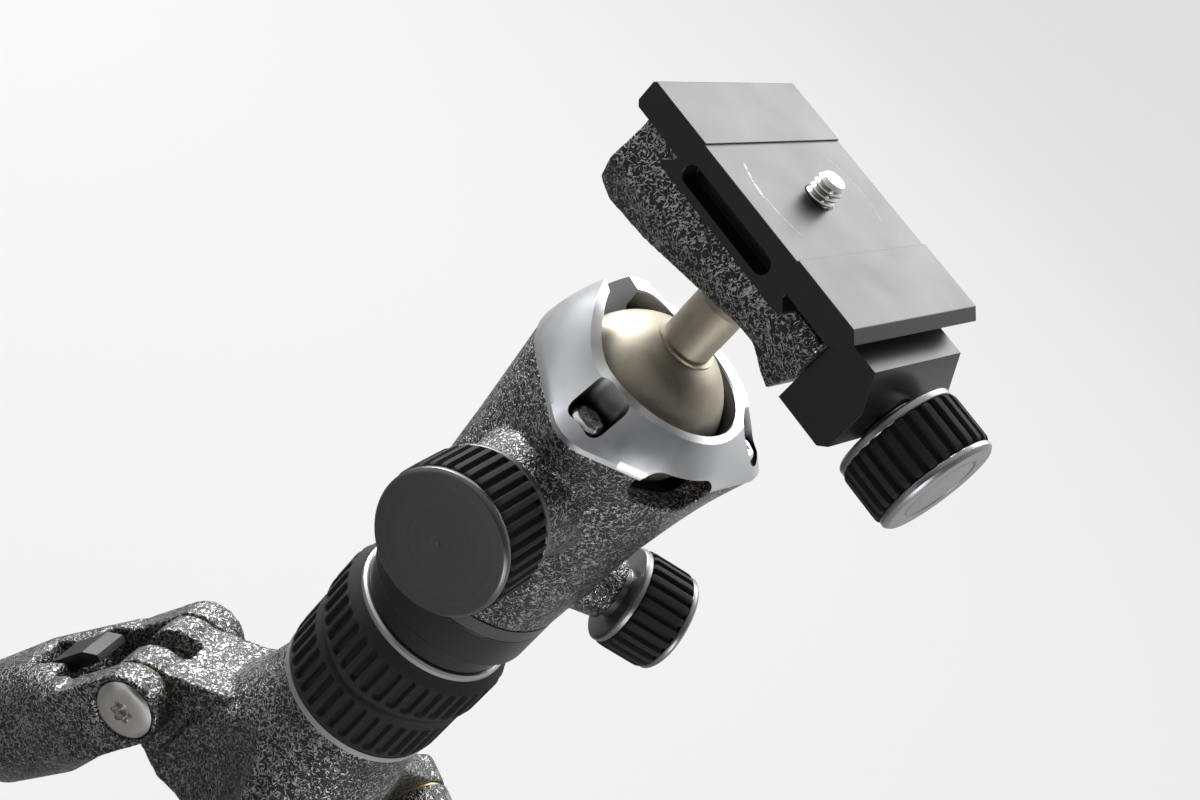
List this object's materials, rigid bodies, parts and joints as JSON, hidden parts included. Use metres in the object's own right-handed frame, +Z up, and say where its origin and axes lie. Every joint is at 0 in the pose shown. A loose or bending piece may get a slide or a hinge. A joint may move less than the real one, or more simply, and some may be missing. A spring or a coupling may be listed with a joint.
{
  "type": "travel tripod",
  "caption": "Compact travel tripod with a lockable ball head, quick-release plate, sliding centre column and telescoping fold-back legs.",
  "frame": {"origin": "on the centre column's axis, level with the plate face that the camera screw stands on", "axes": "+Z up along the centre column; the ball's lock knob points to -Y"},
  "size_m": [0.3427, 0.3646, 0.5903],
  "materials": {
    "hammertone": "hammertone enamel, silver flecks on black",
    "anodised_black": "matte black anodised",
    "steel": "bright turned steel",
    "knob_metal": "grey anodised, turned",
    "grip_rubber": "ribbed matte rubber",
    "ball_coat": "champagne anodised, fine bead-blasted",
    "dark_plastic": "matte",
    "satin_aluminium": "satin silver anodised",
    "scale_grey": "dark grey with fine engraved ticks",
    "carbon_tube": "satin carbon weave",
    "washer_brass": "satin",
    "foot_rubber": "matte rubber"
  },
  "bodies": {
    "shoulder": {"shoulder_casting": "hammertone", "hinge_bolts": "steel", "hinge_washers": "washer_brass"},
    "collar": {"collar_sleeve": "knob_metal", "collar_grip": "grip_rubber"},
    "column": {"column_tube": "carbon_tube", "column_plug": "dark_plastic", "pan_base": "anodised_black"},
    "hook": {"hook": "steel"},
    "head": {"head_body": "hammertone", "scale_ring": "scale_grey", "retaining_ring": "satin_aluminium", "ring_screws": "steel"},
    "cup": {"ball_cup": "dark_plastic"},
    "ball": {"ball_and_stem": "ball_coat"},
    "platform": {"platform": "hammertone"},
    "jaw": {"movable_jaw": "anodised_black"},
    "clamp_knob": {"clamp_knob_core": "knob_metal", "clamp_knob_grip": "grip_rubber"},
    "plate": {"quick_release_plate": "anodised_black"},
    "camera_screw": {"camera_screw": "steel"},
    "lock_knob": {"lock_knob_core": "knob_metal", "lock_knob_grip": "grip_rubber"},
    "pan_knob": {"pan_knob_core": "knob_metal", "pan_knob_grip": "grip_rubber"},
    "leg_1": {"leg_1_casting": "hammertone", "leg_1_tube_1": "carbon_tube"},
    "leg_1_tab": {"leg_1_angle_tab": "anodised_black"},
    "leg_1_section_2": {"leg_1_tube_2": "carbon_tube"},
    "leg_1_lock_1": {"leg_1_lock_1": "grip_rubber"},
    "leg_1_section_3": {"leg_1_tube_3": "carbon_tube"},
    "leg_1_lock_2": {"leg_1_lock_2": "grip_rubber"},
    "leg_1_section_4": {"leg_1_tube_4": "carbon_tube", "leg_1_foot": "foot_rubber"},
    "leg_1_lock_3": {"leg_1_lock_3": "grip_rubber"},
    "leg_2": {"leg_2_casting": "hammertone", "leg_2_tube_1": "carbon_tube"},
    "leg_2_tab": {"leg_2_angle_tab": "anodised_black"},
    "leg_2_section_2": {"leg_2_tube_2": "carbon_tube"},
    "leg_2_lock_1": {"leg_2_lock_1": "grip_rubber"},
    "leg_2_section_3": {"leg_2_tube_3": "carbon_tube"},
    "leg_2_lock_2": {"leg_2_lock_2": "grip_rubber"},
    "leg_2_section_4": {"leg_2_tube_4": "carbon_tube", "leg_2_foot": "foot_rubber"},
    "leg_2_lock_3": {"leg_2_lock_3": "grip_rubber"},
    "leg_3": {"leg_3_casting": "hammertone", "leg_3_tube_1": "carbon_tube"},
    "leg_3_tab": {"leg_3_angle_tab": "anodised_black"},
    "leg_3_section_2": {"leg_3_tube_2": "carbon_tube"},
    "leg_3_lock_1": {"leg_3_lock_1": "grip_rubber"},
    "leg_3_section_3": {"leg_3_tube_3": "carbon_tube"},
    "leg_3_lock_2": {"leg_3_lock_2": "grip_rubber"},
    "leg_3_section_4": {"leg_3_tube_4": "carbon_tube", "leg_3_foot": "foot_rubber"},
    "leg_3_lock_3": {"leg_3_lock_3": "grip_rubber"}
  },
  "joints": [
    {"name": "collar_twist", "type": "hinge", "parent": "shoulder", "child": "collar", "pos_m": [0, 0, -0.15605], "axis": [0, 0, 1], "range_deg": [0, 75]},
    {"name": "column_slide", "type": "slide", "parent": "shoulder", "child": "column", "axis": [0, 0, 1], "range_m": [0, 0.19]},
    {"name": "hook_swing", "type": "hinge", "parent": "column", "child": "hook", "pos_m": [0, 0, -0.4503], "axis": [1, 0, 0], "range_deg": [-75, 50]},
    {"name": "head_pan", "type": "hinge", "parent": "column", "child": "head", "pos_m": [0, 0, -0.1224], "axis": [0, 0, 1], "continuous": true},
    {"name": "ball_swivel", "type": "hinge", "parent": "head", "child": "cup", "pos_m": [0, 0, -0.0618], "axis": [0, 0, 1], "range_deg": [0, 360]},
    {"name": "ball_tilt", "type": "hinge", "parent": "cup", "child": "ball", "pos_m": [0, 0, -0.0618], "axis": [0.0872, 0.9962, 0], "range_deg": [-90, 38]},
    {"name": "stem_turn", "type": "hinge", "parent": "ball", "child": "platform", "pos_m": [0, 0, -0.0618], "axis": [0, 0, 1], "continuous": true},
    {"name": "jaw_slide", "type": "slide", "parent": "platform", "child": "jaw", "axis": [0.9826, -0.1857, 0], "range_m": [0, 0.00375]},
    {"name": "clamp_knob_turn", "type": "hinge", "parent": "jaw", "child": "clamp_knob", "pos_m": [0.04009, -0.00758, -0.0195], "axis": [0.9826, -0.1857, 0], "range_deg": [0, 1080]},
    {"name": "plate_slide", "type": "slide", "parent": "platform", "child": "plate", "axis": [0.1857, 0.9826, 0], "range_m": [-0.015, 0.015]},
    {"name": "camera_screw_turn", "type": "hinge", "parent": "plate", "child": "camera_screw", "pos_m": [-0.00041, -0.00216, 0], "axis": [0, 0, 1], "continuous": true},
    {"name": "lock_knob_turn", "type": "hinge", "parent": "head", "child": "lock_knob", "pos_m": [0, -0.0354, -0.0847], "axis": [0, -1, 0], "range_deg": [0, 360]},
    {"name": "pan_knob_turn", "type": "hinge", "parent": "head", "child": "pan_knob", "pos_m": [0.02396, 0.01328, -0.1088], "axis": [0.8746, 0.4848, 0], "range_deg": [0, 360]},
    {"name": "leg_1_swing", "type": "hinge", "parent": "shoulder", "child": "leg_1", "pos_m": [-0.03743, -0.00526, -0.2128], "axis": [-0.1392, 0.9903, 0], "range_deg": [-24, 148]},
    {"name": "leg_1_tab_slide", "type": "slide", "parent": "leg_1", "child": "leg_1_tab", "axis": [-0.4028, -0.0566, -0.9135], "range_m": [0, 0.006]},
    {"name": "leg_1_lock_1_twist", "type": "hinge", "parent": "leg_1", "child": "leg_1_lock_1", "pos_m": [-0.03743, -0.00526, -0.2128], "axis": [-0.4028, -0.0566, -0.9135], "range_deg": [0, 90]},
    {"name": "leg_1_section_2_slide", "type": "slide", "parent": "leg_1", "child": "leg_1_section_2", "axis": [-0.4028, -0.0566, -0.9135], "range_m": [0, 0.225]},
    {"name": "leg_1_lock_2_twist", "type": "hinge", "parent": "leg_1_section_2", "child": "leg_1_lock_2", "pos_m": [-0.03743, -0.00526, -0.2128], "axis": [-0.4028, -0.0566, -0.9135], "range_deg": [0, 90]},
    {"name": "leg_1_section_3_slide", "type": "slide", "parent": "leg_1_section_2", "child": "leg_1_section_3", "axis": [-0.4028, -0.0566, -0.9135], "range_m": [0, 0.225]},
    {"name": "leg_1_lock_3_twist", "type": "hinge", "parent": "leg_1_section_3", "child": "leg_1_lock_3", "pos_m": [-0.03743, -0.00526, -0.2128], "axis": [-0.4028, -0.0566, -0.9135], "range_deg": [0, 90]},
    {"name": "leg_1_section_4_slide", "type": "slide", "parent": "leg_1_section_3", "child": "leg_1_section_4", "axis": [-0.4028, -0.0566, -0.9135], "range_m": [0, 0.225]},
    {"name": "leg_2_swing", "type": "hinge", "parent": "shoulder", "child": "leg_2", "pos_m": [0.02327, -0.02979, -0.2128], "axis": [-0.788, -0.6157, 0], "range_deg": [-24, 148]},
    {"name": "leg_2_tab_slide", "type": "slide", "parent": "leg_2", "child": "leg_2_tab", "axis": [0.2504, -0.3205, -0.9135], "range_m": [0, 0.006]},
    {"name": "leg_2_lock_1_twist", "type": "hinge", "parent": "leg_2", "child": "leg_2_lock_1", "pos_m": [0.02327, -0.02979, -0.2128], "axis": [0.2504, -0.3205, -0.9135], "range_deg": [0, 90]},
    {"name": "leg_2_section_2_slide", "type": "slide", "parent": "leg_2", "child": "leg_2_section_2", "axis": [0.2504, -0.3205, -0.9135], "range_m": [0, 0.225]},
    {"name": "leg_2_lock_2_twist", "type": "hinge", "parent": "leg_2_section_2", "child": "leg_2_lock_2", "pos_m": [0.02327, -0.02979, -0.2128], "axis": [0.2504, -0.3205, -0.9135], "range_deg": [0, 90]},
    {"name": "leg_2_section_3_slide", "type": "slide", "parent": "leg_2_section_2", "child": "leg_2_section_3", "axis": [0.2504, -0.3205, -0.9135], "range_m": [0, 0.225]},
    {"name": "leg_2_lock_3_twist", "type": "hinge", "parent": "leg_2_section_3", "child": "leg_2_lock_3", "pos_m": [0.02327, -0.02979, -0.2128], "axis": [0.2504, -0.3205, -0.9135], "range_deg": [0, 90]},
    {"name": "leg_2_section_4_slide", "type": "slide", "parent": "leg_2_section_3", "child": "leg_2_section_4", "axis": [0.2504, -0.3205, -0.9135], "range_m": [0, 0.225]},
    {"name": "leg_3_swing", "type": "hinge", "parent": "shoulder", "child": "leg_3", "pos_m": [0.01416, 0.03505, -0.2128], "axis": [0.9272, -0.3746, 0], "range_deg": [-24, 148]},
    {"name": "leg_3_tab_slide", "type": "slide", "parent": "leg_3", "child": "leg_3_tab", "axis": [0.1524, 0.3771, -0.9135], "range_m": [0, 0.006]},
    {"name": "leg_3_lock_1_twist", "type": "hinge", "parent": "leg_3", "child": "leg_3_lock_1", "pos_m": [0.01416, 0.03505, -0.2128], "axis": [0.1524, 0.3771, -0.9135], "range_deg": [0, 90]},
    {"name": "leg_3_section_2_slide", "type": "slide", "parent": "leg_3", "child": "leg_3_section_2", "axis": [0.1524, 0.3771, -0.9135], "range_m": [0, 0.225]},
    {"name": "leg_3_lock_2_twist", "type": "hinge", "parent": "leg_3_section_2", "child": "leg_3_lock_2", "pos_m": [0.01416, 0.03505, -0.2128], "axis": [0.1524, 0.3771, -0.9135], "range_deg": [0, 90]},
    {"name": "leg_3_section_3_slide", "type": "slide", "parent": "leg_3_section_2", "child": "leg_3_section_3", "axis": [0.1524, 0.3771, -0.9135], "range_m": [0, 0.225]},
    {"name": "leg_3_lock_3_twist", "type": "hinge", "parent": "leg_3_section_3", "child": "leg_3_lock_3", "pos_m": [0.01416, 0.03505, -0.2128], "axis": [0.1524, 0.3771, -0.9135], "range_deg": [0, 90]},
    {"name": "leg_3_section_4_slide", "type": "slide", "parent": "leg_3_section_3", "child": "leg_3_section_4", "axis": [0.1524, 0.3771, -0.9135], "range_m": [0, 0.225]}
  ],
  "couplings": [
    {"joint": "clamp_knob_turn", "follows": "jaw_slide", "rad_per_m": 5026.6}
  ]
}
